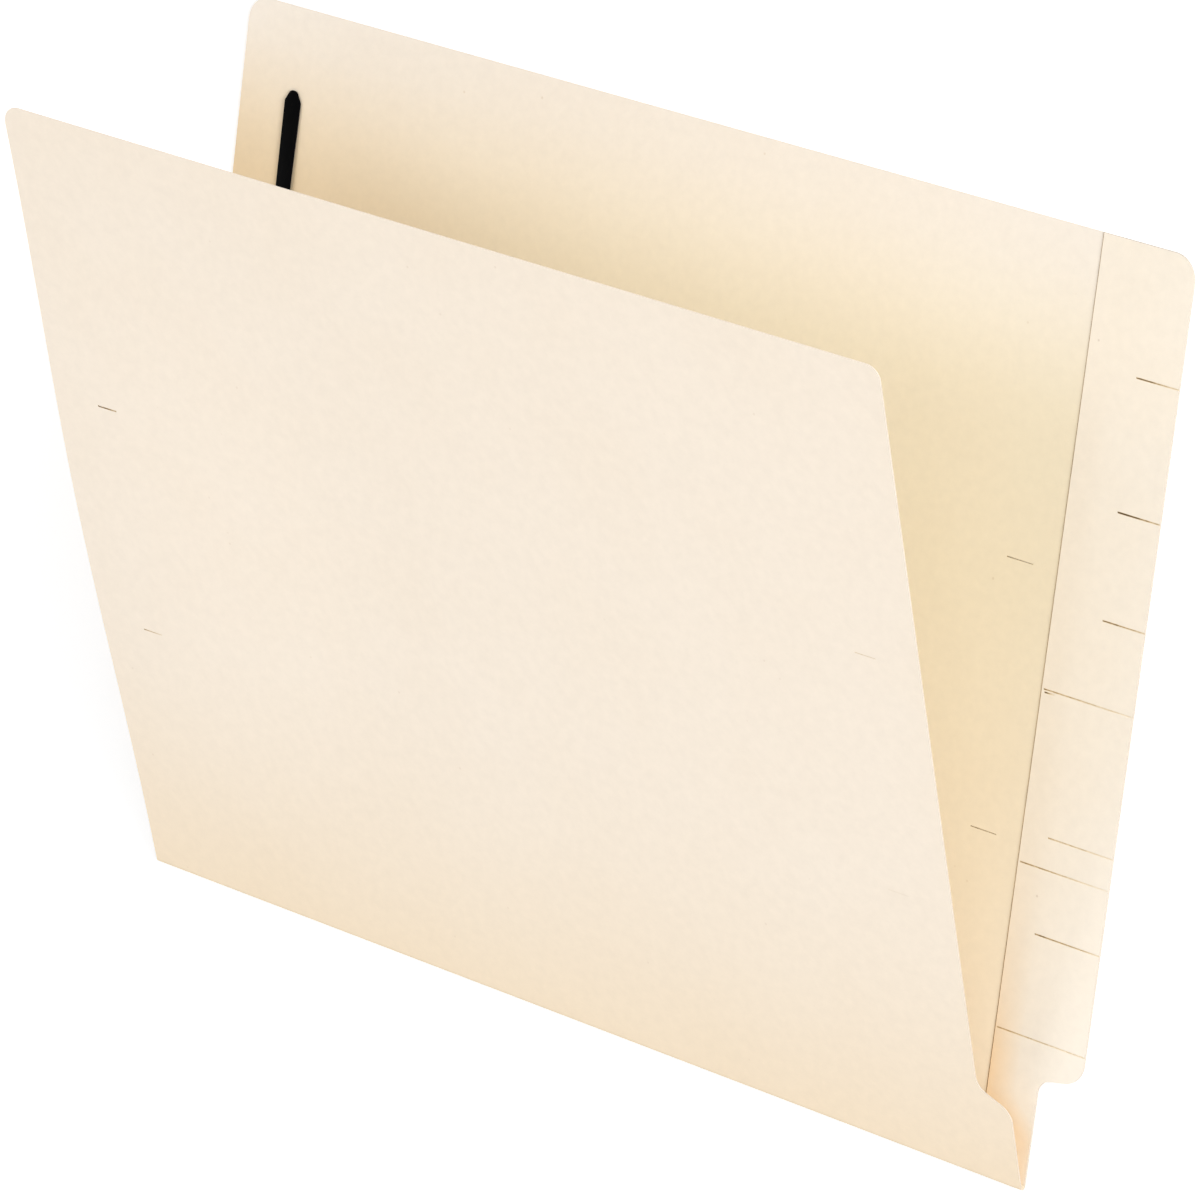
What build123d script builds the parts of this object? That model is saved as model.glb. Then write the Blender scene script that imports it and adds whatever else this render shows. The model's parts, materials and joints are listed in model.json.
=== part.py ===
from build123d import *
from math import cos, radians, sin, tan
import os

# End-tab file folder of manila stock, with a two-prong fastener
# It lies on its back panel with the front panel raised, as when someone looks inside
# Millimetres: X runs along the fold to the end tab, +Y from the fold to the top edge, +Z up
# The origin is the middle of the back panel's outer face, which is the face that it lies on

# Sheet
stock_thickness = 0.28
overall_width = 311.15
tab_reach = 12.7
back_height = 241.3
front_height = 236.5
opening_angle = 22.3
back_corner_radius = 6.5
front_corner_radius = 6.0

# End tab: its lower edge rises outwards from the neck
tab_foot_height = 28.1
tab_foot_slant = 11.0
tab_corner_radius = 6.0
tab_neck_radius = 4.0

# Step in the front panel's right edge, which uncovers the tab
step_width = 10.1
step_height = 28.1
step_drop = 4.6
step_hollow_radius = 4.4
step_round_radius = 4.8

# Second ply along the tab, with scored guide lines for labels
ply_width = 28.2
ply_thickness = 0.28
score_width = 0.5
score_depth = 0.1
middle_score_length = 19.9
long_score_heights = [37.8, 81.2, 125.9]
middle_score_heights = [64.4, 89.4]
short_score_heights = [147.3, 174.8, 208.6]

# Fastener slits, in pairs at the spacing of a standard two-hole punch
back_slit_length = 8.0
front_slit_length = 6.4
slit_width = 0.5
prong_spacing = 69.85
left_inset = 19.05
right_inset = 27.0
back_pair_height = 120.65
front_pair_height = 116.0

# Fastener: a coated steel strip, its middle bonded under a paper patch
strip_width = 5.7
strip_thickness = 0.3
prong_length = 63.5
tip_length = 3.0
tip_width = 2.2
tip_radius = 1.4
patch_width = 22.0
patch_length = 62.0
patch_thickness = 0.2
patch_side_clearance = 0.15

# Clearances
layer_clearance = 0.05
closed_clearance = 0.1
crease_setback = 0.6

# Worked out from the sizes above
body_width = overall_width - tab_reach
front_width = body_width - step_width
left_edge = -overall_width / 2
fold_line = -back_height / 2
inner_face = stock_thickness

# Heights of the fastener's layers above the inner face, with both prongs folded inwards
patch_top = strip_thickness + patch_thickness
lower_folded_top = patch_top + layer_clearance + strip_thickness
upper_folded_top = lower_folded_top + layer_clearance + strip_thickness
closed_gap = max(upper_folded_top, ply_thickness) + closed_clearance

# The fold turns about an axis in the middle of the closed gap
fold_inner_radius = closed_gap / 2
fold_outer_radius = fold_inner_radius + stock_thickness
fold_axis_height = inner_face + fold_inner_radius

# Working planes, with their origins at the left end of the fold
outer_plane = Plane((left_edge, fold_line, 0))
inner_plane = Plane((left_edge, fold_line, inner_face))
ply_top_plane = Plane((left_edge, fold_line, inner_face + ply_thickness))
fold_axis_plane = Plane((left_edge, fold_line, fold_axis_height))
cover_plane = fold_axis_plane.rotated((opening_angle, 0, 0)).offset(fold_inner_radius)
fold_section_plane = Plane((left_edge, fold_line, fold_axis_height), x_dir=(0, 1, 0), z_dir=(1, 0, 0))


def back_outline():
    """Back panel with its end tab"""
    tab_tip_height = tab_foot_height + tab_reach * tan(radians(tab_foot_slant))
    with BuildSketch() as outline:
        with BuildLine():
            FilletPolyline(
                (0, crease_setback),
                (0, back_height),
                (overall_width, back_height),
                (overall_width, tab_tip_height),
                (body_width, tab_foot_height),
                (body_width, crease_setback),
                radius=[0, back_corner_radius, back_corner_radius, tab_corner_radius, tab_neck_radius, 0],
                close=True,
            )
        make_face()
    return outline.sketch


def front_outline():
    """Front panel, which steps out to the full body width near the fold"""
    with BuildSketch() as outline:
        with BuildLine():
            FilletPolyline(
                (0, crease_setback),
                (0, front_height),
                (front_width, front_height),
                (front_width, step_height),
                (body_width, step_height - step_drop),
                (body_width, crease_setback),
                radius=[0, front_corner_radius, front_corner_radius, step_hollow_radius, step_round_radius, 0],
                close=True,
            )
        make_face()
    return outline.sketch


def cut_slit_pair(middle_x, middle_height, length):
    """Two slits that take the prongs of a fastener"""
    with Locations((middle_x, middle_height)):
        with GridLocations(0, prong_spacing, 1, 2):
            Rectangle(length, slit_width, mode=Mode.SUBTRACT)


def score_lines(length, heights):
    """Guide lines that run in from the tab's outer edge"""
    for height in heights:
        with Locations((overall_width, height)):
            Rectangle(length, score_width, align=(Align.MAX, Align.CENTER))


def prong_outline(root_height, heading):
    """One prong with its spade tip; heading is 1 towards the top edge and -1 towards the fold"""
    shoulder_height = root_height + heading * (prong_length - tip_length)
    tip_height = root_height + heading * prong_length
    with BuildSketch() as outline:
        with BuildLine():
            FilletPolyline(
                (left_inset - strip_width / 2, root_height),
                (left_inset - strip_width / 2, shoulder_height),
                (left_inset - tip_width / 2, tip_height),
                (left_inset + tip_width / 2, tip_height),
                (left_inset + strip_width / 2, shoulder_height),
                (left_inset + strip_width / 2, root_height),
                radius=[0, 0, tip_radius, tip_radius, 0, 0],
                close=True,
            )
        make_face()
    return outline.sketch


os.makedirs("parts", exist_ok=True)

# Back panel, lying on its outer face
with BuildPart() as back_panel:
    with BuildSketch(outer_plane):
        add(back_outline())
        cut_slit_pair(body_width - right_inset, back_pair_height, back_slit_length)
    extrude(amount=stock_thickness)

# Front panel, raised about the fold
with BuildPart() as front_panel:
    with BuildSketch(cover_plane):
        add(front_outline())
        cut_slit_pair(left_inset, front_pair_height, front_slit_length)
        cut_slit_pair(body_width - right_inset, front_pair_height, front_slit_length)
    extrude(amount=stock_thickness)

# Crease, the strip of the sheet that bends between the panels
with BuildPart() as fold_crease:
    with BuildSketch(fold_section_plane):
        bend = 180 - opening_angle
        cover_setback = Vector(cos(radians(opening_angle)), sin(radians(opening_angle))) * crease_setback
        with BuildLine():
            back_outer = Line((crease_setback, -fold_outer_radius), (0, -fold_outer_radius))
            outer_arc = CenterArc((0, 0), fold_outer_radius, -90, -bend)
            cover_outer = Line(outer_arc @ 1, (outer_arc @ 1) + cover_setback)
            inner_arc = CenterArc((0, 0), fold_inner_radius, -90, -bend)
            cover_inner = Line(inner_arc @ 1, (inner_arc @ 1) + cover_setback)
            Line(cover_outer @ 1, cover_inner @ 1)
            back_inner = Line((crease_setback, -fold_inner_radius), (0, -fold_inner_radius))
            Line(back_outer @ 0, back_inner @ 0)
        make_face()
    extrude(amount=body_width)

# Second ply of the tab, with its guide lines scored in
with BuildPart() as tab_reinforcement:
    with BuildSketch(inner_plane):
        add(back_outline())
        with Locations((overall_width - ply_width, 0)):
            Rectangle(overall_width, 2 * back_height, align=(Align.MIN, Align.CENTER), mode=Mode.INTERSECT)
    extrude(amount=ply_thickness)
    with BuildSketch(ply_top_plane):
        score_lines(ply_width, long_score_heights)
        score_lines(middle_score_length, middle_score_heights)
        score_lines(tab_reach, short_score_heights)
    extrude(amount=-score_depth, mode=Mode.SUBTRACT)

# Fastener base, flat on the back panel's inner face
with BuildPart() as fastener_base:
    with BuildSketch(inner_plane):
        with Locations((left_inset, back_pair_height)):
            Rectangle(strip_width, prong_spacing)
    extrude(amount=strip_thickness)

# Patch, pressed down over the base and bonded to the panel on both sides of it
with BuildPart() as fastener_patch:
    patch_middle = (left_edge + left_inset, fold_line + back_pair_height, inner_face)
    with BuildSketch(Plane(patch_middle, x_dir=(1, 0, 0), z_dir=(0, -1, 0))):
        channel_side = strip_width / 2 + patch_side_clearance
        with BuildLine():
            Polyline(
                (0, strip_thickness),
                (channel_side, strip_thickness),
                (channel_side, 0),
                (patch_width / 2, 0),
                (patch_width / 2, patch_thickness),
                (channel_side + patch_thickness, patch_thickness),
                (channel_side + patch_thickness, patch_top),
                (0, patch_top),
            )
            mirror(about=Plane.YZ)
        make_face()
    extrude(amount=patch_length / 2, both=True)

# Prongs, folded flat outwards from the ends of the base
with BuildPart() as upper_prong:
    with BuildSketch(inner_plane):
        add(prong_outline(back_pair_height + prong_spacing / 2, 1))
    extrude(amount=strip_thickness)

with BuildPart() as lower_prong:
    with BuildSketch(inner_plane):
        add(prong_outline(back_pair_height - prong_spacing / 2, -1))
    extrude(amount=strip_thickness)

back_panel.part.label = "back_panel"
front_panel.part.label = "front_panel"
fold_crease.part.label = "fold_crease"
tab_reinforcement.part.label = "tab_reinforcement"
fastener_base.part.label = "fastener_base"
fastener_patch.part.label = "fastener_patch"
upper_prong.part.label = "upper_prong"
lower_prong.part.label = "lower_prong"

export_step(back_panel.part, "parts/back_panel.step")
export_step(front_panel.part, "parts/front_panel.step")
export_step(fold_crease.part, "parts/fold_crease.step")
export_step(tab_reinforcement.part, "parts/tab_reinforcement.step")
export_step(fastener_base.part, "parts/fastener_base.step")
export_step(fastener_patch.part, "parts/fastener_patch.step")
export_step(upper_prong.part, "parts/upper_prong.step")
export_step(lower_prong.part, "parts/lower_prong.step")
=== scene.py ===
import json
import math

import bmesh
import bpy
from mathutils import Matrix, Vector


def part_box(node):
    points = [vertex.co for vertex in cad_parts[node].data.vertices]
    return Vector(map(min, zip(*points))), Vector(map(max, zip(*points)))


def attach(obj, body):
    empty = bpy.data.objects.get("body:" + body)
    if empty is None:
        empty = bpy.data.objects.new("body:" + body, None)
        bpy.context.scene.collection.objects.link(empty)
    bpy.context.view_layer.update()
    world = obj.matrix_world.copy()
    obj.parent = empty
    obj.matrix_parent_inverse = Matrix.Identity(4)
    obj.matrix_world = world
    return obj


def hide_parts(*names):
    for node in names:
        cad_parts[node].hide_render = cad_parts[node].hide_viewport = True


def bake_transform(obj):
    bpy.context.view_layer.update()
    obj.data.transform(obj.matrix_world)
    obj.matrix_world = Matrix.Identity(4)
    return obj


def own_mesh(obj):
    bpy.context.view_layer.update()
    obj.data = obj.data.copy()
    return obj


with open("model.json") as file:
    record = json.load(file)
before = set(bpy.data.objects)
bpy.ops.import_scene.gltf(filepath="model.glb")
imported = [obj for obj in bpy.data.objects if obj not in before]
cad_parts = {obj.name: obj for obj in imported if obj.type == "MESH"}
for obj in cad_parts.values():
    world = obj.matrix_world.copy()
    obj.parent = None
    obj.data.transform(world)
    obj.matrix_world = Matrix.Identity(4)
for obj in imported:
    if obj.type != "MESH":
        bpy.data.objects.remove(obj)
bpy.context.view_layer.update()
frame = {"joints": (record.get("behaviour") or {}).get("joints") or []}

# Manila end-tab folder, lying on its back panel with the cover raised
# Metres, in the frame of the solid model
# X runs along the fold to the tab, Y from the fold to the top edge, Z up

MM = 0.001
TOUCH = 0.01 * MM
HAIR = 0.001 * MM

# Places read from the frame
joints = {joint["name"]: joint for joint in frame["joints"]}
back_low, back_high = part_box("back_panel")
_, crease_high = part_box("fold_crease")
ply_low, ply_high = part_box("tab_reinforcement")
base_low, base_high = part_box("fastener_base")
patch_low, patch_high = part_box("fastener_patch")
upper_low, upper_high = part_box("upper_prong")
lower_low, lower_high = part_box("lower_prong")
fold_axis = Vector(joints["cover_fold"]["pos_m"])
opening = math.radians(-joints["cover_fold"]["range_deg"][0])

# Sheet
stock = back_high.z - back_low.z
left_edge = back_low.x
right_edge = back_high.x
top_edge = back_high.y
body_edge = crease_high.x
fold_line = fold_axis.y
crease_setback = back_low.y - fold_line
inner_face = back_high.z
fold_outer_radius = fold_axis.z - back_low.z
cover_inner = fold_axis.z + fold_outer_radius - stock
front_height = 236.5 * MM
cover_top = fold_line + front_height
back_corner_radius = 6.5 * MM
front_corner_radius = 6.0 * MM
front_tab_side_radius = 3.8 * MM

# End tab
tab_reach = right_edge - body_edge
tab_foot = fold_line + 28.1 * MM
tab_foot_slant = math.radians(11.0)
tab_corner_radius = 6.0 * MM
tab_neck_radius = 4.0 * MM

# Step in the cover's right edge
step_width = 10.1 * MM
step_line = body_edge - step_width
step_height = fold_line + 28.1 * MM
step_drop = 4.6 * MM
step_hollow_radius = 4.4 * MM
step_round_radius = 4.8 * MM

# Edge of the tab's second ply, browner towards the fold and at its top end
ply_edge_width = 0.35 * MM
ply_edge_drop = 0.22 * MM
ply_edge_end = 0.5 * MM
ply_edge_fade = 80.0 * MM
ply_edge_brown = (1.5, 0.82, 1.25)

# Guide lines, scored in the second ply from its outer edge
# Each has its height over the fold, its length and its brown at the inner and outer ends
score_width = 0.6 * MM
score_depth = 0.1 * MM
guide_cells = 14
guide_stop = 0.2 * MM
guide_lines = [
    (37.8 * MM, 27.4 * MM, 0.78, 0.36),
    (64.4 * MM, 19.9 * MM, 1.2, 0.42),
    (81.2 * MM, 27.2 * MM, 1.0, 0.12),
    (89.4 * MM, 19.9 * MM, 0.72, 0.32),
    (125.9 * MM, 27.2 * MM, 0.95, 0.2),
    (147.3 * MM, tab_reach, 1.15, 0.58),
    (174.8 * MM, tab_reach, 1.95, 0.56),
    (208.6 * MM, tab_reach, 1.35, 0.36),
]

# The scoring rule slipped once and left a short mark under a long line's inner end
slip_height = 125.15 * MM
slip_inset = 26.85 * MM
slip_length = 3.0 * MM
slip_brown = (1.5, 0.0)

# Fastener strip and its prongs, which keep a small set from their last bend
strip_middle = (base_low.x + base_high.x) / 2
strip_width = base_high.x - base_low.x
strip_thickness = base_high.z - base_low.z
strip_edge_radius = 0.1 * MM
strip_rub = 0.5
tip_length = 3.0 * MM
tip_width = 2.2 * MM
tip_radius = 1.4 * MM
tip_lift = 0.3 * MM
prong_lift = 0.2 * MM
prong_twist = math.radians(7.0)

# Patch over the strip: the margin beside the strip, and the slope that leads down to the panel
patch_margin = 0.12 * MM
patch_slope = 1.1 * MM
patch_slope_steps = 6

# Slits for a fastener's prongs, opened a little more at their left ends
# Each has its own opening at the left end and its own painted shade on its lips at the left and right ends,
# where the open gap looks dark
back_slit_length = 8.0 * MM
front_slit_length = 6.4 * MM
slit_pinch = 0.3
slit_halo = 0.14 * MM
used_slit = (0.32 * MM, 1.0, 0.65)
eased_slit = (0.2 * MM, 0.6, 0.3)
fresh_slit = (0.14 * MM, 0.75, 0.35)
tight_slit = (0.08 * MM, 0.32, 0.2)
shut_slit = (0.05 * MM, 0.08, 0.0)
slit_spacing = 69.85 * MM
left_slits = strip_middle
right_slits = body_edge - 27.0 * MM
back_slits = fold_line + 120.65 * MM
front_slits = fold_line + 116.0 * MM

# Set of the paper
bend_spacing = 12.0 * MM
crease_steps = 24
cover_bow = 2.4 * MM
cover_bow_reach = 112.0 * MM

# Painted shade on the sheet: warmer along the fold, yellower on the inner faces under the cover, browner
# inside towards the left end, a darker line on the fold's outer turn, and darker cut edges on the tab's
# side where the lamps light them
outside_fold_shade = (0.972, 0.914, 0.808)
inside_fold_shade = (0.985, 0.935, 0.845)
fold_shade_reach = 90.0 * MM
fold_shade_power = 1.6
fold_edge_shade = 0.19
inner_shade_margin = 52.0 * MM
inner_shade_deep_tint = (1.02, 0.985, 0.895)
inner_shade_shallow_tint = (0.955, 0.926, 0.793)
inner_shade_deep_reach = (20.0 * MM, 150.0 * MM)
left_end_shade_tint = (0.922, 0.812, 0.685)
left_end_shade_reach = 220.0 * MM
left_end_shade_power = 2.5
tab_edge_shade_tint = (0.69, 0.69, 0.69)
tab_edge_shade_fade = 5.0 * MM

# Painted warm bounce light and shade on the ply beside its inner edge, by shares of the way up from the
# fold
# It spreads further out near the fold, and painted light makes the rest of the ply paler, below its top
ply_warmth = [(0.0, 0.5), (0.28, 1.0), (0.36, 0.93), (0.5, 0.48), (0.63, 0.3), (0.8, 0.15), (1.0, 0.0)]
ply_warm_tint = (0.985, 0.835, 0.65)
ply_warm_reach = 9.0 * MM
ply_warm_spread = 14.0 * MM
ply_warm_heights = (9.0 * MM, 24.0 * MM)
ply_pale_tint = (1.028, 1.038, 1.055)
ply_pale_reach = (2.0 * MM, 12.0 * MM)
ply_pale_heights = (185.0 * MM, 215.0 * MM)

# Brown of lines, and of the painted shade on slit lips and the fold, from none to full
line_brown = [
    (0.0, (1.0, 1.0, 1.0)),
    (0.3, (0.86, 0.79, 0.65)),
    (0.65, (0.48, 0.36, 0.21)),
    (1.0, (0.1, 0.065, 0.03)),
]

# Coating of the strip, whole and rubbed thin
coating_black = (0.0012, 0.0012, 0.0014)
coating_rubbed = (0.05, 0.05, 0.052)

# Floor and surround of the studio
floor_size = 24.0
floor_drop = 0.4 * MM
floor_tone = (0.93, 0.93, 0.93)
floor_glow = 0.3
surround_light = 0.538


def rest_selection():
    """Leave edit mode with nothing selected"""
    if bpy.context.object and bpy.context.object.mode != "OBJECT":
        bpy.ops.object.mode_set(mode="OBJECT")
    bpy.ops.object.select_all(action="DESELECT")


def blank(name, low, high, height):
    """A flat blank between two corners, in edit mode"""
    rest_selection()
    middle = ((low[0] + high[0]) / 2, (low[1] + high[1]) / 2, height)
    bpy.ops.mesh.primitive_plane_add(size=1, location=middle)
    piece = bpy.context.object
    piece.name = name
    piece.data.name = name
    piece.scale = (high[0] - low[0], high[1] - low[1], 1)
    bpy.ops.object.transform_apply(location=True, rotation=True, scale=True)
    bpy.ops.object.mode_set(mode="EDIT")
    return piece


def everywhere(point):
    return True


def pick(piece, kind, test):
    """Select only the corners, edges or faces whose middle passes the test"""
    bpy.ops.mesh.select_mode(type=kind)
    bpy.ops.mesh.select_all(action="DESELECT")
    shape = bmesh.from_edit_mesh(piece.data)
    if kind == "VERT":
        chosen = [corner for corner in shape.verts if test(corner.co)]
    elif kind == "EDGE":
        chosen = [edge for edge in shape.edges if test((edge.verts[0].co + edge.verts[1].co) / 2)]
    else:
        chosen = [face for face in shape.faces if test(face.calc_center_median())]
    for part in chosen:
        part.select_set(True)
    shape.select_flush_mode()
    bmesh.update_edit_mesh(piece.data)


def cut_across(piece, axis, place, near=everywhere):
    """Cut the faces that pass the test along a line at one place on X or Y"""
    point = Vector((0, 0, 0))
    point[axis] = place
    normal = Vector((0, 0, 0))
    normal[axis] = 1
    pick(piece, "FACE", near)
    bpy.ops.mesh.bisect(plane_co=point, plane_no=normal, threshold=HAIR)


def cut_grid(piece, low, high, spacing):
    """Cut the blank into cells that are small enough to bend"""
    for axis in (0, 1):
        count = math.ceil((high[axis] - low[axis]) / spacing)
        for step in range(1, count):
            cut_across(piece, axis, low[axis] + step * (high[axis] - low[axis]) / count)


def round_corner(piece, corner, radius, angle=math.pi / 2, segments=10):
    """Round one corner of a flat blank; the angle is the one between its two edges"""
    place = Vector(corner)
    pick(piece, "VERT", lambda point: (point.xy - place).length < TOUCH)
    bpy.ops.mesh.bevel(offset=radius / math.tan(angle / 2), segments=segments, affect="VERTICES")


def thicken(piece, thickness, *materials):
    """Turn the blank's faces up and thicken it upwards

    The materials are for its top, its cut edge and its underside.
    """
    bpy.ops.mesh.select_mode(type="FACE")
    bpy.ops.mesh.select_all(action="DESELECT")
    shape = bmesh.from_edit_mesh(piece.data)
    for face in shape.faces:
        face.select_set(face.normal.z < 0)
    bmesh.update_edit_mesh(piece.data)
    bpy.ops.mesh.flip_normals()
    bpy.ops.object.mode_set(mode="OBJECT")
    wall = piece.modifiers.new("thickness", "SOLIDIFY")
    wall.thickness = thickness
    wall.offset = 1
    wall.use_even_offset = True
    for material in materials:
        piece.data.materials.append(material)
    wall.material_offset_rim = 1
    wall.material_offset = 2
    bpy.ops.object.modifier_apply(modifier=wall.name)


def lift(height, reach):
    """Lift what is selected and draw along what lies within reach, less and less"""
    bpy.ops.transform.translate(
        value=(0, 0, height),
        use_proportional_edit=True,
        proportional_edit_falloff="SMOOTH",
        proportional_size=reach,
    )


def mark(piece, name, amount):
    """Write a value at each corner, for a finish that follows the surface"""
    layer = piece.data.attributes.new(name, "FLOAT", "POINT")
    for corner in piece.data.vertices:
        layer.data[corner.index].value = amount(corner.co)


def finish_piece(piece, body, solid, smooth_below=35):
    """Smooth the piece and put it in its solid's place; a piece that bends between bodies rides on none"""
    rest_selection()
    piece.select_set(True)
    bpy.context.view_layer.objects.active = piece
    bpy.ops.object.shade_smooth_by_angle(angle=math.radians(smooth_below))
    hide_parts(solid)
    if body:
        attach(piece, body)


# Finishes: each paper has its tone, the tone of its clouds and that of its flecks

def node(tree, kind, inputs=None, **settings):
    """Add a shader node with its settings and plain input values"""
    made = tree.nodes.new(kind)
    for name, value in settings.items():
        setattr(made, name, value)
    for name, value in (inputs or {}).items():
        made.inputs[name].default_value = value
    return made


def tinted(tree, color, tint, share):
    """Lay a tint over a colour, as far as the share says"""
    mix = node(tree, "ShaderNodeMix", data_type="RGBA", blend_type="MULTIPLY")
    mix.inputs["B"].default_value = (*tint, 1)
    tree.links.new(share, mix.inputs["Factor"])
    tree.links.new(color, mix.inputs["A"])
    return mix.outputs["Result"]


def fill_ramp(ramp, steps):
    """Give a colour ramp its steps, each with its place and colour, from the first end to the last"""
    stops = ramp.color_ramp.elements
    stops[0].color = (*steps[0][1], 1)
    stops[1].color = (*steps[-1][1], 1)
    for place, color in steps[1:-1]:
        stops.new(place).color = (*color, 1)


def paper_grain():
    """Cloudy formation, fibres and small flecks of a paper stock"""
    group = bpy.data.node_groups.new("paper_grain", "ShaderNodeTree")
    sockets = group.interface
    sockets.new_socket("Place", in_out="INPUT", socket_type="NodeSocketVector")
    sockets.new_socket("Tone", in_out="INPUT", socket_type="NodeSocketColor")
    sockets.new_socket("Cloud", in_out="INPUT", socket_type="NodeSocketColor")
    sockets.new_socket("Fleck", in_out="INPUT", socket_type="NodeSocketColor")
    sockets.new_socket("Color", in_out="OUTPUT", socket_type="NodeSocketColor")
    sockets.new_socket("Roughness", in_out="OUTPUT", socket_type="NodeSocketFloat")
    sockets.new_socket("Height", in_out="OUTPUT", socket_type="NodeSocketFloat")
    link = group.links.new
    given = node(group, "NodeGroupInput")
    result = node(group, "NodeGroupOutput")

    # Broad clouds, some centimetres across
    clouds = node(group, "ShaderNodeTexNoise", {"Scale": 24.0, "Detail": 3.0, "Roughness": 0.55})
    cloud_share = node(group, "ShaderNodeMapRange", {"From Min": 0.38, "From Max": 0.68})
    clouded = node(group, "ShaderNodeMix", data_type="RGBA")
    link(given.outputs["Place"], clouds.inputs["Vector"])
    link(clouds.outputs["Fac"], cloud_share.inputs["Value"])
    link(cloud_share.outputs["Result"], clouded.inputs["Factor"])
    link(given.outputs["Tone"], clouded.inputs["A"])
    link(given.outputs["Cloud"], clouded.inputs["B"])

    # Formation, a few millimetres across
    formation = node(group, "ShaderNodeTexNoise", {"Scale": 330.0, "Detail": 4.0, "Roughness": 0.62})
    formation_share = node(
        group, "ShaderNodeMapRange", {"From Min": 0.3, "From Max": 0.7, "To Min": 0.979, "To Max": 1.018}
    )
    formed = node(group, "ShaderNodeVectorMath", operation="SCALE")
    link(given.outputs["Place"], formation.inputs["Vector"])
    link(formation.outputs["Fac"], formation_share.inputs["Value"])
    link(clouded.outputs["Result"], formed.inputs[0])
    link(formation_share.outputs["Result"], formed.inputs["Scale"])

    # Fibres that lie mostly along the fold
    along = node(
        group, "ShaderNodeMapping", {"Rotation": (0.0, 0.0, 0.12), "Scale": (420.0, 2600.0, 2600.0)}
    )
    fibres = node(group, "ShaderNodeTexNoise", {"Scale": 1.0, "Detail": 3.0, "Roughness": 0.6})
    link(given.outputs["Place"], along.inputs["Vector"])
    link(along.outputs["Vector"], fibres.inputs["Vector"])

    # A few flecks of bark
    cells = node(group, "ShaderNodeTexVoronoi", {"Scale": 230.0, "Randomness": 1.0})
    fleck_size = node(
        group, "ShaderNodeMapRange", {"From Min": 0.05, "From Max": 0.11, "To Min": 1.0, "To Max": 0.0}
    )
    cell_lot = node(group, "ShaderNodeSeparateColor")
    is_fleck = node(group, "ShaderNodeMath", {1: 0.95}, operation="GREATER_THAN")
    fleck_share = node(group, "ShaderNodeMath", operation="MULTIPLY")
    fleck_faint = node(group, "ShaderNodeMath", {1: 0.28}, operation="MULTIPLY")
    flecked = node(group, "ShaderNodeMix", data_type="RGBA")
    link(given.outputs["Place"], cells.inputs["Vector"])
    link(cells.outputs["Distance"], fleck_size.inputs["Value"])
    link(cells.outputs["Color"], cell_lot.inputs["Color"])
    link(cell_lot.outputs["Red"], is_fleck.inputs[0])
    link(fleck_size.outputs["Result"], fleck_share.inputs[0])
    link(is_fleck.outputs["Value"], fleck_share.inputs[1])
    link(fleck_share.outputs["Value"], fleck_faint.inputs[0])
    link(fleck_faint.outputs["Value"], flecked.inputs["Factor"])
    link(formed.outputs["Vector"], flecked.inputs["A"])
    link(given.outputs["Fleck"], flecked.inputs["B"])

    # Tooth of the surface
    tooth = node(group, "ShaderNodeMath", operation="ADD")
    rough = node(
        group, "ShaderNodeMapRange", {"From Min": 0.3, "From Max": 0.7, "To Min": 0.78, "To Max": 0.9}
    )
    link(fibres.outputs["Fac"], tooth.inputs[0])
    link(formation.outputs["Fac"], tooth.inputs[1])
    link(fibres.outputs["Fac"], rough.inputs["Value"])
    link(flecked.outputs["Result"], result.inputs["Color"])
    link(rough.outputs["Result"], result.inputs["Roughness"])
    link(tooth.outputs["Value"], result.inputs["Height"])
    return group


grain = paper_grain()


def new_material(name):
    material = bpy.data.materials.new(name)
    material.use_nodes = True
    material.node_tree.nodes.clear()
    return material, material.node_tree


def paper(name, tone, cloud, fleck, inked_and_shaded=False, fold_shade=None, tab_ply=False, shaded_by_tab=False):
    """Manila or patch paper

    Inked and shaded paper shows the brown marked on its piece: ink in the guide lines and along the ply's
    edge, and painted shade on the lips of the slits and on the fold. A fold shade paints the sheet warmer
    towards the fold, the tab's ply gets painted warm bounce light beside the cover, and edges shaded by the
    tab get painted shade on the tab's side.
    """
    material, tree = new_material(name)
    link = tree.links.new
    place = node(tree, "ShaderNodeTexCoord")
    stock_grain = node(tree, "ShaderNodeGroup", node_tree=grain)
    stock_grain.inputs["Tone"].default_value = (*tone, 1)
    stock_grain.inputs["Cloud"].default_value = (*cloud, 1)
    stock_grain.inputs["Fleck"].default_value = (*fleck, 1)
    link(place.outputs["Object"], stock_grain.inputs["Place"])
    color = stock_grain.outputs["Color"]
    if fold_shade:
        color = painted_shade_by_fold(tree, place, color, fold_shade)
    if tab_ply:
        color = painted_bounce_beside_cover(tree, place, color)
    if shaded_by_tab:
        color = shade_edges_by_tab(tree, place, color)
    if inked_and_shaded:
        color = brown_lines(tree, place, color)
    bump = node(tree, "ShaderNodeBump", {"Strength": 0.25, "Distance": 0.03 * MM})
    surface = node(tree, "ShaderNodeBsdfPrincipled", {"Specular IOR Level": 0.25})
    output = node(tree, "ShaderNodeOutputMaterial")
    link(stock_grain.outputs["Height"], bump.inputs["Height"])
    link(color, surface.inputs["Base Color"])
    link(stock_grain.outputs["Roughness"], surface.inputs["Roughness"])
    link(bump.outputs["Normal"], surface.inputs["Normal"])
    link(surface.outputs["BSDF"], output.inputs["Surface"])
    return material


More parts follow.
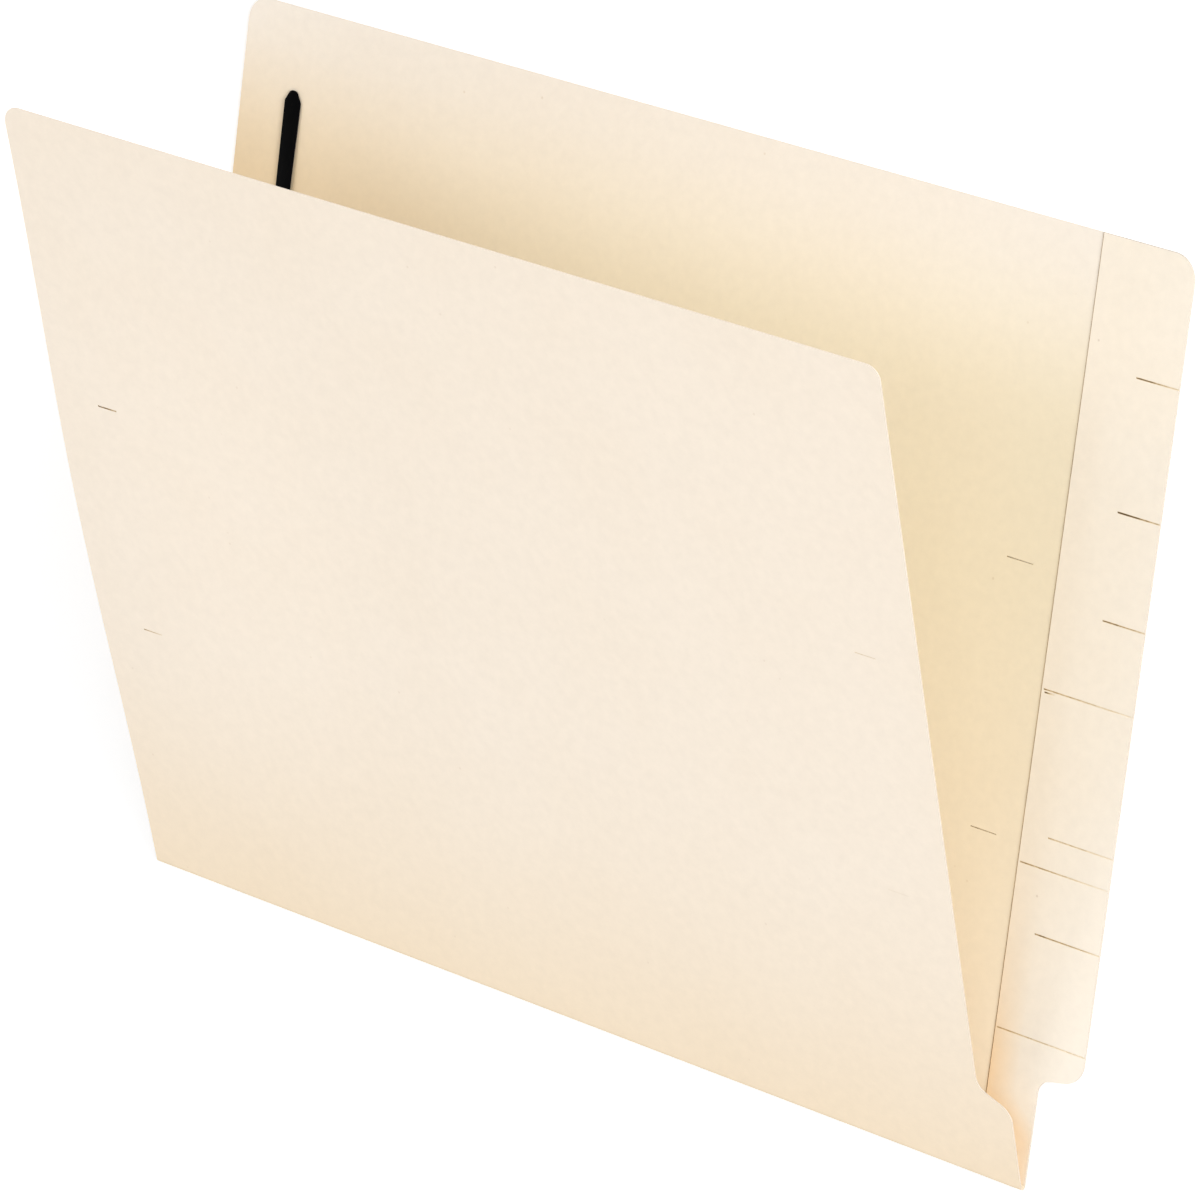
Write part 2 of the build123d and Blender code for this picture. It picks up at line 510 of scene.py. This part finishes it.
def painted_shade_by_fold(tree, place, color, fold_shade):
    """Painted shade: warmer along the fold on the outer faces, where the sheet turns into the crease, and
    yellower on the inner faces under the cover

    Painted shade also browns the inner faces towards the left end.
    """
    link = tree.links.new
    # Painted shade, warmer towards the fold on the faces outside the inner shade
    offset = node(tree, "ShaderNodeVectorMath", {1: (0.0, fold_axis.y, fold_axis.z)}, operation="SUBTRACT")
    flat = node(tree, "ShaderNodeVectorMath", {1: (0.0, 1.0, 1.0)}, operation="MULTIPLY")
    distance = node(tree, "ShaderNodeVectorMath", operation="LENGTH")
    near = node(tree, "ShaderNodeMapRange", {"From Max": fold_shade_reach, "To Min": 1.0, "To Max": 0.0})
    share = node(tree, "ShaderNodeMath", {1: fold_shade_power}, operation="POWER")
    inner_shade = node(tree, "ShaderNodeAttribute", attribute_name="inner_shade")
    outside = node(tree, "ShaderNodeMath", {0: 1.0}, operation="SUBTRACT")
    warmth = node(tree, "ShaderNodeMath", operation="MULTIPLY")
    link(place.outputs["Object"], offset.inputs[0])
    link(offset.outputs["Vector"], flat.inputs[0])
    link(flat.outputs["Vector"], distance.inputs[0])
    link(distance.outputs["Value"], near.inputs["Value"])
    link(near.outputs["Result"], share.inputs[0])
    link(inner_shade.outputs["Fac"], outside.inputs[1])
    link(share.outputs["Value"], warmth.inputs[0])
    link(outside.outputs["Value"], warmth.inputs[1])
    warmed = tinted(tree, color, fold_shade, warmth.outputs["Value"])

    # Painted shade on the inner face, yellower under the cover
    deep = node(
        tree, "ShaderNodeMapRange",
        {"From Min": inner_shade_deep_reach[0], "From Max": inner_shade_deep_reach[1], "To Min": 1.0, "To Max": 0.0},
    )
    inner_shade_tint = node(tree, "ShaderNodeMix", data_type="RGBA")
    inner_shade_tint.inputs["A"].default_value = (*inner_shade_shallow_tint, 1)
    inner_shade_tint.inputs["B"].default_value = (*inner_shade_deep_tint, 1)
    yellowed = node(tree, "ShaderNodeMix", data_type="RGBA", blend_type="MULTIPLY")
    link(distance.outputs["Value"], deep.inputs["Value"])
    link(deep.outputs["Result"], inner_shade_tint.inputs["Factor"])
    link(inner_shade.outputs["Fac"], yellowed.inputs["Factor"])
    link(warmed, yellowed.inputs["A"])
    link(inner_shade_tint.outputs["Result"], yellowed.inputs["B"])

    # Painted shade inside, towards the left end
    left_end_shade = node(tree, "ShaderNodeAttribute", attribute_name="left_end_shade")
    return tinted(tree, yellowed.outputs["Result"], left_end_shade_tint, left_end_shade.outputs["Fac"])


def painted_bounce_beside_cover(tree, place, color):
    """Painted warm bounce light and the cover's shade along the ply's inner edge near the cover's step, and
    painted light that makes the ply paler outwards from that edge, below its top
    """
    link = tree.links.new
    spot = node(tree, "ShaderNodeSeparateXYZ")
    height = node(
        tree, "ShaderNodeMapRange", {"From Min": fold_line, "From Max": fold_line + fold_shade_reach}
    )
    by_height = node(tree, "ShaderNodeValToRGB")
    fill_ramp(by_height, [(share, (warm, warm, warm)) for share, warm in ply_warmth])
    spread = node(
        tree, "ShaderNodeMapRange",
        {"From Min": fold_line + ply_warm_heights[0], "From Max": fold_line + ply_warm_heights[1],
         "To Min": ply_warm_spread, "To Max": 0.0},
        interpolation_type="SMOOTHSTEP",
    )
    across = node(tree, "ShaderNodeMath", operation="SUBTRACT")
    sideways = node(
        tree, "ShaderNodeMapRange",
        {"From Min": ply_low.x, "From Max": ply_low.x + ply_warm_reach, "To Min": 1.0, "To Max": 0.0},
    )
    warmth = node(tree, "ShaderNodeMath", operation="MULTIPLY")
    link(place.outputs["Object"], spot.inputs["Vector"])
    link(spot.outputs["Y"], height.inputs["Value"])
    link(height.outputs["Result"], by_height.inputs["Fac"])
    link(spot.outputs["Y"], spread.inputs["Value"])
    link(spot.outputs["X"], across.inputs[0])
    link(spread.outputs["Result"], across.inputs[1])
    link(across.outputs["Value"], sideways.inputs["Value"])
    link(by_height.outputs["Color"], warmth.inputs[0])
    link(sideways.outputs["Result"], warmth.inputs[1])
    warmed = tinted(tree, color, ply_warm_tint, warmth.outputs["Value"])

    # Painted light: paler outwards from the inner edge and below the top
    outward = node(
        tree, "ShaderNodeMapRange",
        {"From Min": ply_low.x + ply_pale_reach[0], "From Max": ply_low.x + ply_pale_reach[1]},
        interpolation_type="SMOOTHSTEP",
    )
    below_top = node(
        tree, "ShaderNodeMapRange",
        {"From Min": fold_line + ply_pale_heights[0], "From Max": fold_line + ply_pale_heights[1],
         "To Min": 1.0, "To Max": 0.0},
        interpolation_type="SMOOTHSTEP",
    )
    painted_light_share = node(tree, "ShaderNodeMath", operation="MULTIPLY")
    link(spot.outputs["X"], outward.inputs["Value"])
    link(spot.outputs["Y"], below_top.inputs["Value"])
    link(outward.outputs["Result"], painted_light_share.inputs[0])
    link(below_top.outputs["Result"], painted_light_share.inputs[1])
    return tinted(tree, warmed, ply_pale_tint, painted_light_share.outputs["Value"])


def shade_edges_by_tab(tree, place, color):
    """Painted shade on the cut edges from the cover's step towards the tab, where the lamps light the thin
    rims
    """
    spot = node(tree, "ShaderNodeSeparateXYZ")
    share = node(
        tree, "ShaderNodeMapRange", {"From Min": step_line - tab_edge_shade_fade, "From Max": step_line - TOUCH}
    )
    tree.links.new(place.outputs["Object"], spot.inputs["Vector"])
    tree.links.new(spot.outputs["X"], share.inputs["Value"])
    return tinted(tree, color, tab_edge_shade_tint, share.outputs["Result"])


def brown_lines(tree, place, color):
    """Uneven brown in the guide lines and along the ply's edge, and painted shade on the lips of the slits
    and on the fold
    """
    link = tree.links.new
    ink_and_shade = node(tree, "ShaderNodeAttribute", attribute_name="ink_and_shade")
    uneven = node(tree, "ShaderNodeTexNoise", {"Scale": 700.0, "Detail": 3.0, "Roughness": 0.7})
    uneven_share = node(
        tree, "ShaderNodeMapRange", {"From Min": 0.35, "From Max": 0.65, "To Min": 0.7, "To Max": 1.15}
    )
    laid = node(tree, "ShaderNodeMath", operation="MULTIPLY")
    brown = node(tree, "ShaderNodeValToRGB")
    lined = node(tree, "ShaderNodeMix", {"Factor": 1.0}, data_type="RGBA", blend_type="MULTIPLY")
    fill_ramp(brown, line_brown)
    link(place.outputs["Object"], uneven.inputs["Vector"])
    link(uneven.outputs["Fac"], uneven_share.inputs["Value"])
    link(ink_and_shade.outputs["Fac"], laid.inputs[0])
    link(uneven_share.outputs["Result"], laid.inputs[1])
    link(laid.outputs["Value"], brown.inputs["Fac"])
    link(brown.outputs["Color"], lined.inputs["B"])
    link(color, lined.inputs["A"])
    return lined.outputs["Result"]


def black_coated_steel():
    """Thin black coating on the fastener strip, with a fine orange peel"""
    material, tree = new_material("black_coated_steel")
    link = tree.links.new
    place = node(tree, "ShaderNodeTexCoord")
    peel = node(tree, "ShaderNodeTexNoise", {"Scale": 1400.0, "Detail": 2.0, "Roughness": 0.5})
    handling = node(tree, "ShaderNodeTexNoise", {"Scale": 90.0, "Detail": 4.0, "Roughness": 0.6})
    rough = node(
        tree, "ShaderNodeMapRange", {"From Min": 0.3, "From Max": 0.7, "To Min": 0.42, "To Max": 0.6}
    )
    wear_and_shade = node(tree, "ShaderNodeAttribute", attribute_name="wear_and_shade")
    worn = node(tree, "ShaderNodeMath", operation="MULTIPLY")
    coated = node(tree, "ShaderNodeMix", data_type="RGBA")
    coated.inputs["A"].default_value = (*coating_black, 1)
    coated.inputs["B"].default_value = (*coating_rubbed, 1)
    bump = node(tree, "ShaderNodeBump", {"Strength": 0.2, "Distance": 0.02 * MM})
    surface = node(tree, "ShaderNodeBsdfPrincipled", {"Specular IOR Level": 0.02})
    output = node(tree, "ShaderNodeOutputMaterial")
    link(place.outputs["Object"], peel.inputs["Vector"])
    link(place.outputs["Object"], handling.inputs["Vector"])
    link(handling.outputs["Fac"], rough.inputs["Value"])
    link(wear_and_shade.outputs["Fac"], worn.inputs[0])
    link(handling.outputs["Fac"], worn.inputs[1])
    link(worn.outputs["Value"], coated.inputs["Factor"])
    link(coated.outputs["Result"], surface.inputs["Base Color"])
    link(rough.outputs["Result"], surface.inputs["Roughness"])
    link(peel.outputs["Fac"], bump.inputs["Height"])
    link(bump.outputs["Normal"], surface.inputs["Normal"])
    link(surface.outputs["BSDF"], output.inputs["Surface"])
    return material


# One manila stock: the inside and ply tones are set apart from the outer tone as painted light and shade,
# for the faces inside the folder and on the tab's ply
manila = paper(
    "manila", (0.952, 0.845, 0.716), (0.946, 0.835, 0.701), (0.7, 0.56, 0.42),
    inked_and_shaded=True, fold_shade=outside_fold_shade,
)
manila_inside = paper(
    "manila_inside", (0.913, 0.843, 0.753), (0.909, 0.834, 0.741), (0.6, 0.46, 0.3),
    inked_and_shaded=True, fold_shade=inside_fold_shade,
)
manila_ply = paper(
    "manila_ply", (0.914, 0.834, 0.718), (0.908, 0.824, 0.703), (0.32, 0.2, 0.1),
    inked_and_shaded=True, tab_ply=True,
)
# Cut edges take a darker tone than the sheet: painted shade that tempers the lamps' light on the thin rims
manila_cut_edge = paper(
    "manila_cut_edge", (0.87, 0.77, 0.65), (0.83, 0.73, 0.61), (0.5, 0.35, 0.2),
    inked_and_shaded=True, shaded_by_tab=True,
)
# The ply's cut edge is darker still, painted shade on the rim that faces the tab-side lamp
ply_cut_edge = paper("ply_cut_edge", (0.6, 0.53, 0.45), (0.57, 0.5, 0.42), (0.5, 0.35, 0.2))
patch_paper = paper("patch_paper", (0.91, 0.82, 0.68), (0.88, 0.78, 0.63), (0.35, 0.24, 0.14))
coated_steel = black_coated_steel()


# Sheet pieces

def tab_blank(name, height):
    """The back panel's outline with its end tab, as one flat face"""
    piece = blank(name, (left_edge, back_low.y), (body_edge, top_edge), height)
    tab_tip = tab_foot + tab_reach * math.tan(tab_foot_slant)
    corner_angle = math.pi / 2 + tab_foot_slant
    cut_across(piece, 1, tab_foot)
    pick(piece, "EDGE", lambda point: point.x > body_edge - TOUCH and point.y > tab_foot)
    bpy.ops.mesh.extrude_region_move(TRANSFORM_OT_translate={"value": (tab_reach, 0, 0)})
    pick(piece, "VERT", lambda point: point.x > right_edge - TOUCH and point.y < tab_foot + TOUCH)
    bpy.ops.transform.translate(value=(0, tab_tip - tab_foot, 0))
    bpy.ops.mesh.select_all(action="SELECT")
    bpy.ops.mesh.dissolve_faces()
    round_corner(piece, (left_edge, top_edge), back_corner_radius)
    round_corner(piece, (right_edge, top_edge), back_corner_radius)
    round_corner(piece, (right_edge, tab_tip), tab_corner_radius, corner_angle)
    round_corner(piece, (body_edge, tab_foot), tab_neck_radius, corner_angle)
    return piece


def cover_blank(name, height):
    """The cover's outline with its step, laid flat over the back panel"""
    piece = blank(name, (left_edge, back_low.y), (step_line, cover_top), height)
    corner_angle = math.pi / 2 + math.atan2(step_drop, step_width)
    cut_across(piece, 1, step_height)
    pick(piece, "EDGE", lambda point: point.x > step_line - TOUCH and point.y < step_height)
    bpy.ops.mesh.extrude_region_move(TRANSFORM_OT_translate={"value": (step_width, 0, 0)})
    pick(piece, "VERT", lambda point: point.x > body_edge - TOUCH and point.y > step_height - TOUCH)
    bpy.ops.transform.translate(value=(0, -step_drop, 0))
    bpy.ops.mesh.select_all(action="SELECT")
    bpy.ops.mesh.dissolve_faces()
    round_corner(piece, (left_edge, cover_top), front_corner_radius)
    round_corner(piece, (step_line, cover_top), front_tab_side_radius)
    round_corner(piece, (step_line, step_height), step_hollow_radius, corner_angle)
    round_corner(piece, (body_edge, step_height - step_drop), step_round_radius, corner_angle)
    return piece


def slit_pair(middle_x, middle_y, length, lower, upper):
    """The two slits that take one fastener: the middle and length of each and how it looks"""
    half = slit_spacing / 2
    return [
        (Vector((middle_x, middle_y - half)), length, lower),
        (Vector((middle_x, middle_y + half)), length, upper),
    ]


def cut_slit(piece, middle, length, look):
    """Open one slit, wider at its left end, with a ring of face around it"""
    half = Vector((length / 2, look[0] / 2))
    reach = bend_spacing

    def nearby(point):
        return abs(point.x - middle.x) < reach and abs(point.y - middle.y) < reach

    for axis in (1, 0):
        for side in (-1, 1):
            cut_across(piece, axis, middle[axis] + side * half[axis], nearby)
            cut_across(piece, axis, middle[axis] + side * (half[axis] + slit_halo), nearby)
    pick(piece, "FACE", lambda point: abs(point.x - middle.x) < half.x and abs(point.y - middle.y) < half.y)
    bpy.ops.mesh.delete(type="FACE")
    right_end = Vector((middle.x + half.x, middle.y))
    pick(piece, "VERT", lambda point: (point.xy - right_end).length < half.y + TOUCH)
    bpy.ops.transform.resize(value=(1, slit_pinch, 1), center_override=(right_end.x, right_end.y, 0))


def slit_lip_shade(slits):
    """Painted shade on a slit's lips, where the gap looks dark, fading towards its right end"""

    def amount(point):
        for middle, length, (opening_width, left_brown, right_brown) in slits:
            along = (point.x - middle.x) / length + 0.5
            if abs(along - 0.5) < 0.501 and abs(point.y - middle.y) < opening_width / 2 + TOUCH:
                return left_brown + (right_brown - left_brown) * along
        return 0.0

    return amount


def inner_shade_share(edge, face_height, side):
    """How much painted shade a sheet gets on the face towards its partner, more of it away from its free
    edge
    """

    def amount(point):
        if (point.z - face_height) * side < -stock / 2:
            return 0.0
        share = min(1.0, max(0.0, (edge - point.y) / inner_shade_margin))
        return share * share * (3 - 2 * share)

    return amount


def left_end_shade_share(inner_shade):
    """How much more painted shade a sheet gets on its inner face, towards its left end"""

    def amount(point):
        share = max(0.0, 1 - (point.x - left_edge) / left_end_shade_reach)
        return inner_shade(point) * share ** left_end_shade_power

    return amount


def make_back_sheet():
    piece = tab_blank("back_sheet", back_low.z)
    cut_grid(piece, back_low, back_high, bend_spacing)
    slits = slit_pair(right_slits, back_slits, back_slit_length, fresh_slit, fresh_slit)
    for slit in slits:
        cut_slit(piece, *slit)
    thicken(piece, stock, manila_inside, manila_cut_edge, manila)
    # Painted shade on the slits' lips
    mark(piece, "ink_and_shade", slit_lip_shade(slits))
    # Painted shade on the inner face under the cover
    inner_shade = inner_shade_share(top_edge, inner_face, 1)
    mark(piece, "inner_shade", inner_shade)
    # More painted shade on the inner face towards the left end
    mark(piece, "left_end_shade", left_end_shade_share(inner_shade))
    finish_piece(piece, "back", "back_panel")


def make_cover_sheet():
    piece = cover_blank("cover_sheet", cover_inner)
    cut_grid(piece, back_low, (body_edge, cover_top), bend_spacing)
    slits = slit_pair(left_slits, front_slits, front_slit_length, eased_slit, used_slit)
    slits += slit_pair(right_slits, front_slits, front_slit_length, shut_slit, tight_slit)
    for slit in slits:
        cut_slit(piece, *slit)
    thicken(piece, stock, manila, manila_cut_edge, manila_inside)
    # Painted shade on the slits' lips
    mark(piece, "ink_and_shade", slit_lip_shade(slits))
    # Painted shade on the inner face under the cover
    inner_shade = inner_shade_share(cover_top, cover_inner, -1)
    mark(piece, "inner_shade", inner_shade)
    # More painted shade on the inner face towards the left end
    mark(piece, "left_end_shade", left_end_shade_share(inner_shade))
    bpy.ops.object.mode_set(mode="EDIT")
    middle_height = fold_line + front_height / 2
    pick(
        piece, "VERT",
        lambda point: point.x < left_edge + TOUCH and abs(point.y - middle_height) < bend_spacing / 2,
    )
    lift(cover_bow, cover_bow_reach)
    bpy.ops.mesh.select_all(action="SELECT")
    bpy.ops.transform.rotate(value=-opening, orient_axis="X", center_override=fold_axis)
    finish_piece(piece, "cover", "front_panel")
    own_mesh(piece)


def make_crease():
    """The bend between the panels: a short run, a turn about the fold's axis and another short run"""
    rest_selection()
    middle = ((left_edge + body_edge) / 2, back_low.y, stock / 2)
    bpy.ops.mesh.primitive_plane_add(size=1, location=middle, rotation=(math.pi / 2, 0, 0))
    piece = bpy.context.object
    piece.name = "crease_bend"
    piece.data.name = "crease_bend"
    piece.scale = (body_edge - left_edge, stock, 1)
    bpy.ops.object.transform_apply(location=True, rotation=True, scale=True)
    bpy.ops.object.mode_set(mode="EDIT")
    bpy.ops.mesh.select_all(action="SELECT")
    bpy.ops.mesh.extrude_region_move(TRANSFORM_OT_translate={"value": (0, -crease_setback, 0)})
    bpy.ops.mesh.spin(steps=crease_steps, angle=math.pi - opening, center=fold_axis, axis=(1, 0, 0))
    run = Vector((0, math.cos(opening), math.sin(opening))) * crease_setback
    bpy.ops.mesh.extrude_region_move(TRANSFORM_OT_translate={"value": run})
    bpy.ops.mesh.select_all(action="SELECT")
    bpy.ops.mesh.normals_make_consistent(inside=False)

    def on_inside(point):
        return (point.yz - fold_axis.yz).length < fold_outer_radius - stock / 2

    def on_end(point):
        return min(point.x - left_edge, body_edge - point.x) < TOUCH

    piece.data.materials.append(manila)
    zones = [(manila_inside, on_inside), (manila_cut_edge, on_end)]
    for slot, (material, where) in enumerate(zones, start=1):
        piece.data.materials.append(material)
        pick(piece, "FACE", where)
        piece.active_material_index = slot
        bpy.ops.object.material_slot_assign()
    bpy.ops.object.mode_set(mode="OBJECT")

    # Painted shade darkens the outer turn of the fold towards its lowest side
    def wear_and_shade(point):
        return 0.0 if on_inside(point) else fold_edge_shade * max(0.0, fold_line - point.y) / fold_outer_radius

    mark(piece, "ink_and_shade", wear_and_shade)
    # The crease's inner face takes the full painted shade of the inner faces
    mark(piece, "inner_shade", lambda point: 1.0 if on_inside(point) else 0.0)
    finish_piece(piece, None, "fold_crease")
    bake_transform(piece)


def make_tab_ply():
    piece = tab_blank("tab_ply", inner_face)
    bpy.ops.mesh.select_all(action="SELECT")
    bpy.ops.mesh.bisect(plane_co=(ply_low.x, 0, 0), plane_no=(1, 0, 0), threshold=HAIR, clear_inner=True)
    thicken(piece, ply_high.z - ply_low.z, manila_ply, ply_cut_edge)
    bpy.ops.object.mode_set(mode="EDIT")

    def on_top(point):
        return point.z > ply_high.z - TOUCH

    slip_start = right_edge - slip_inset
    guides = [
        (right_edge - length, right_edge, fold_line + height, inner_brown, outer_brown)
        for height, length, inner_brown, outer_brown in guide_lines
    ]
    guides += [(slip_start, slip_start + slip_length, fold_line + slip_height, *slip_brown)]
    cut_across(piece, 0, ply_low.x + ply_edge_width, on_top)
    cut_across(piece, 1, top_edge - ply_edge_end, on_top)
    for start, end, height, *_ in guides:
        score_guide(piece, start, end, height, on_top)
    scored_face = ply_high.z - score_depth
    pick(
        piece, "VERT",
        lambda point: point.x < ply_low.x + TOUCH and point.z > scored_face - TOUCH,
    )
    bpy.ops.transform.translate(value=(0, 0, -ply_edge_drop))
    bpy.ops.object.mode_set(mode="OBJECT")

    def ink_and_shade(point):
        low_brown, high_brown, end_brown = ply_edge_brown
        if point.x < ply_low.x + TOUCH:
            if point.y > top_edge - TOUCH:
                return end_brown
            return low_brown + (high_brown - low_brown) * min(1.0, (point.y - ply_low.y) / ply_edge_fade)
        for start, end, height, inner_brown, outer_brown in guides:
            on_guide = abs(point.y - height) < TOUCH and start - TOUCH < point.x < end + TOUCH
            if on_guide and point.z > ply_low.z + TOUCH:
                return inner_brown + (outer_brown - inner_brown) * (point.x - start) / (end - start)
        return 0.0

    mark(piece, "ink_and_shade", ink_and_shade)
    finish_piece(piece, "back", "tab_reinforcement", smooth_below=8)


def score_guide(piece, start, end, height, on_top):
    """Press one guide line into the ply's top face, from its start to its end"""
    half = score_width / 2

    def in_line(point):
        return on_top(point) and abs(point.y - height) < half and point.x > start

    def on_line(point):
        return on_top(point) and abs(point.y - height) < TOUCH and start + TOUCH < point.x < end + TOUCH

    for side in (-1, 1):
        cut_across(piece, 1, height + side * half, on_top)
    for place in (start, start - guide_stop):
        cut_across(piece, 0, place, lambda point: on_top(point) and abs(point.y - height) < half)
    for step in range(1, guide_cells + 1):
        cut_across(piece, 0, start + (end - start) * step / guide_cells, in_line)
    cut_across(piece, 1, height, lambda point: in_line(point) and point.x < end)
    pick(piece, "VERT", on_line)
    bpy.ops.transform.translate(value=(0, 0, -score_depth))


# Fastener pieces

def make_base():
    piece = blank("base_strip", base_low, base_high, base_low.z)
    cut_grid(piece, base_low, base_high, strip_width / 2)
    thicken(piece, strip_thickness, coated_steel)
    soften_strip(piece)
    finish_piece(piece, "back", "fastener_base")


def soften_strip(piece):
    """Round the strip's edges a little"""
    bpy.ops.object.mode_set(mode="OBJECT")
    softening = piece.modifiers.new("softening", "BEVEL")
    softening.width = strip_edge_radius
    softening.segments = 3
    softening.limit_method = "ANGLE"
    softening.angle_limit = math.radians(50)
    bpy.ops.object.modifier_apply(modifier=softening.name)


def make_prong(name, solid, low, high, heading):
    """One prong with its spade tip, twisted a little off the panel as its last bend left it

    Its body bears the name of its solid.
    """
    root = low.y if heading > 0 else high.y
    tip = high.y if heading > 0 else low.y
    shoulder = tip - heading * tip_length
    piece = blank(name, (low.x, min(root, shoulder)), (high.x, max(root, shoulder)), low.z)
    pick(piece, "EDGE", lambda point: abs(point.y - shoulder) < TOUCH)
    bpy.ops.mesh.extrude_region_move(TRANSFORM_OT_translate={"value": (0, heading * tip_length, 0)})
    bpy.ops.transform.resize(
        value=(tip_width / strip_width, 1, 1), center_override=(strip_middle, tip, low.z)
    )
    bpy.ops.mesh.select_all(action="SELECT")
    bpy.ops.mesh.dissolve_faces()
    side_angle = math.pi / 2 + math.atan2((strip_width - tip_width) / 2, tip_length)
    for side in (-1, 1):
        tip_corner = (strip_middle + side * tip_width / 2, tip)
        round_corner(piece, tip_corner, tip_radius, side_angle, segments=6)
    cut_grid(piece, low, high, strip_width / 2)
    thicken(piece, strip_thickness, coated_steel)
    soften_strip(piece)

    def wear_and_shade(point):
        return strip_rub if abs(point.x - strip_middle) > strip_width / 2 - TOUCH else 0.0

    mark(piece, "wear_and_shade", wear_and_shade)
    bpy.ops.object.mode_set(mode="EDIT")
    middle = (root + tip) / 2
    painted_light_share = strip_width / 3
    pick(piece, "VERT", lambda point: abs(point.y - middle) < painted_light_share)
    lift(prong_lift, abs(tip - middle) - painted_light_share)
    bpy.ops.transform.rotate(
        value=prong_twist,
        orient_axis="Y",
        center_override=(low.x, middle, low.z),
        use_proportional_edit=True,
        proportional_edit_falloff="SMOOTH",
        proportional_size=abs(tip - middle) - painted_light_share,
    )
    pick(piece, "VERT", lambda point: abs(point.y - tip) < tip_length)
    lift(tip_lift, abs(tip - middle))
    finish_piece(piece, solid, solid)
    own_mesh(piece)


def make_patch():
    """Paper patch, pressed down over the strip and on to the panel at both sides"""
    piece = blank("patch_sheet", patch_low, patch_high, patch_low.z)
    crest = strip_width / 2 + patch_margin
    shares = [step / patch_slope_steps for step in range(patch_slope_steps + 1)]
    for side in (-1, 1):
        for share in shares:
            cut_across(piece, 0, strip_middle + side * (crest + patch_slope * share))
    for share in shares[:-1]:
        fall = share * share * (3 - 2 * share)
        reach = crest + patch_slope * share
        pick(piece, "VERT", lambda point: abs(abs(point.x - strip_middle) - reach) < TOUCH)
        bpy.ops.transform.translate(value=(0, 0, strip_thickness * (1 - fall)))
    thicken(piece, patch_high.z - base_high.z, patch_paper)
    finish_piece(piece, "back", "fastener_patch")


make_back_sheet()
make_cover_sheet()
make_crease()
make_tab_ply()
make_base()
make_prong("upper_prong_strip", "upper_prong", upper_low, upper_high, 1)
make_prong("lower_prong_strip", "lower_prong", lower_low, lower_high, -1)
make_patch()
rest_selection()


# Studio

def make_floor():
    """Pale floor, a hair below the panel; it shows white to the camera and keeps the folder's shadow"""
    rest_selection()
    bpy.ops.mesh.primitive_plane_add(size=floor_size, location=(0, 0, back_low.z - floor_drop))
    floor = bpy.context.object
    floor.name = "studio_floor"
    material, tree = new_material("studio_floor")
    link = tree.links.new
    ray = node(tree, "ShaderNodeLightPath")
    seen = node(tree, "ShaderNodeMath", operation="MAXIMUM")
    glow = node(tree, "ShaderNodeMath", {1: floor_glow}, operation="MULTIPLY")
    surface = node(
        tree, "ShaderNodeBsdfPrincipled",
        {"Base Color": (*floor_tone, 1), "Roughness": 1.0, "Specular IOR Level": 0.0},
    )
    surface.inputs["Emission Color"].default_value = (1, 1, 1, 1)
    output = node(tree, "ShaderNodeOutputMaterial")
    link(ray.outputs["Is Camera Ray"], seen.inputs[0])
    link(ray.outputs["Is Glossy Ray"], seen.inputs[1])
    link(seen.outputs["Value"], glow.inputs[0])
    link(glow.outputs["Value"], surface.inputs["Emission Strength"])
    link(surface.outputs["BSDF"], output.inputs["Surface"])
    floor.data.materials.append(material)


def make_world():
    """Even white surround; the camera sees it as plain white"""
    world = bpy.data.worlds.new("studio")
    bpy.context.scene.world = world
    world.use_nodes = True
    tree = world.node_tree
    tree.nodes.clear()
    link = tree.links.new
    ray = node(tree, "ShaderNodeLightPath")
    mirrored = node(tree, "ShaderNodeMath", operation="MAXIMUM")
    seen = node(tree, "ShaderNodeMath", operation="MAXIMUM")
    strength = node(tree, "ShaderNodeMapRange", {"To Min": surround_light, "To Max": 1.0})
    surround = node(tree, "ShaderNodeBackground", {"Color": (1, 1, 1, 1)})
    output = node(tree, "ShaderNodeOutputWorld")
    link(ray.outputs["Is Glossy Ray"], mirrored.inputs[0])
    link(ray.outputs["Is Transmission Ray"], mirrored.inputs[1])
    link(mirrored.outputs["Value"], seen.inputs[0])
    link(ray.outputs["Is Camera Ray"], seen.inputs[1])
    link(seen.outputs["Value"], strength.inputs["Value"])
    link(strength.outputs["Result"], surround.inputs["Strength"])
    link(surround.outputs["Background"], output.inputs["Surface"])


def softbox(name, place, target, width, height, power):
    """A rectangular studio lamp that faces its target"""
    rest_selection()
    bpy.ops.object.light_add(type="AREA", location=place)
    lamp = bpy.context.object
    lamp.name = name
    lamp.data.shape = "RECTANGLE"
    lamp.data.size = width
    lamp.data.size_y = height
    lamp.data.energy = power
    facing = Vector(target) - Vector(place)
    lamp.rotation_euler = facing.to_track_quat("-Z", "Y").to_euler()


def make_camera():
    """The photograph's view: from the tab's side, high above the top edge"""
    rest_selection()
    bpy.ops.object.camera_add()
    camera = bpy.context.object
    camera.name = "photo_camera"
    image_width = 1200
    focal_pixels = 7280.2
    camera.data.sensor_width = 36.0
    camera.data.lens = camera.data.sensor_width * focal_pixels / image_width
    camera.data.clip_start = 0.05
    camera.data.clip_end = 60
    eye = Vector((1115.8, 479.8, 1421.7)) * MM
    forward = Vector((-0.60069, -0.26029, -0.75593)).normalized()
    right = Vector((0.75797, 0.11531, -0.64201))
    right = (right - forward * right.dot(forward)).normalized()
    up = right.cross(forward)
    turn = Matrix((right, up, -forward)).transposed()
    camera.matrix_world = Matrix.Translation(eye) @ turn.to_4x4()
    bpy.context.scene.camera = camera


make_floor()
make_world()
softbox("camera_side", place=(1.68, 0.84, 2.12), target=(0, 0, 0.02), width=1.4, height=1.4, power=6.6)
softbox("tab_side", place=(2.6, 0.7, 0.98), target=(0.05, -0.05, 0.02), width=1.0, height=1.0, power=72.6)
softbox("front_fill", place=(-0.4, -2.0, 0.75), target=(0, 0, 0.02), width=1.1, height=1.1, power=9.4)
softbox("left_key", place=(-0.8, 0.4, 1.55), target=(0, 0, 0.02), width=0.5, height=0.5, power=3.4)
make_camera()
bpy.context.scene.view_settings.view_transform = "Standard"
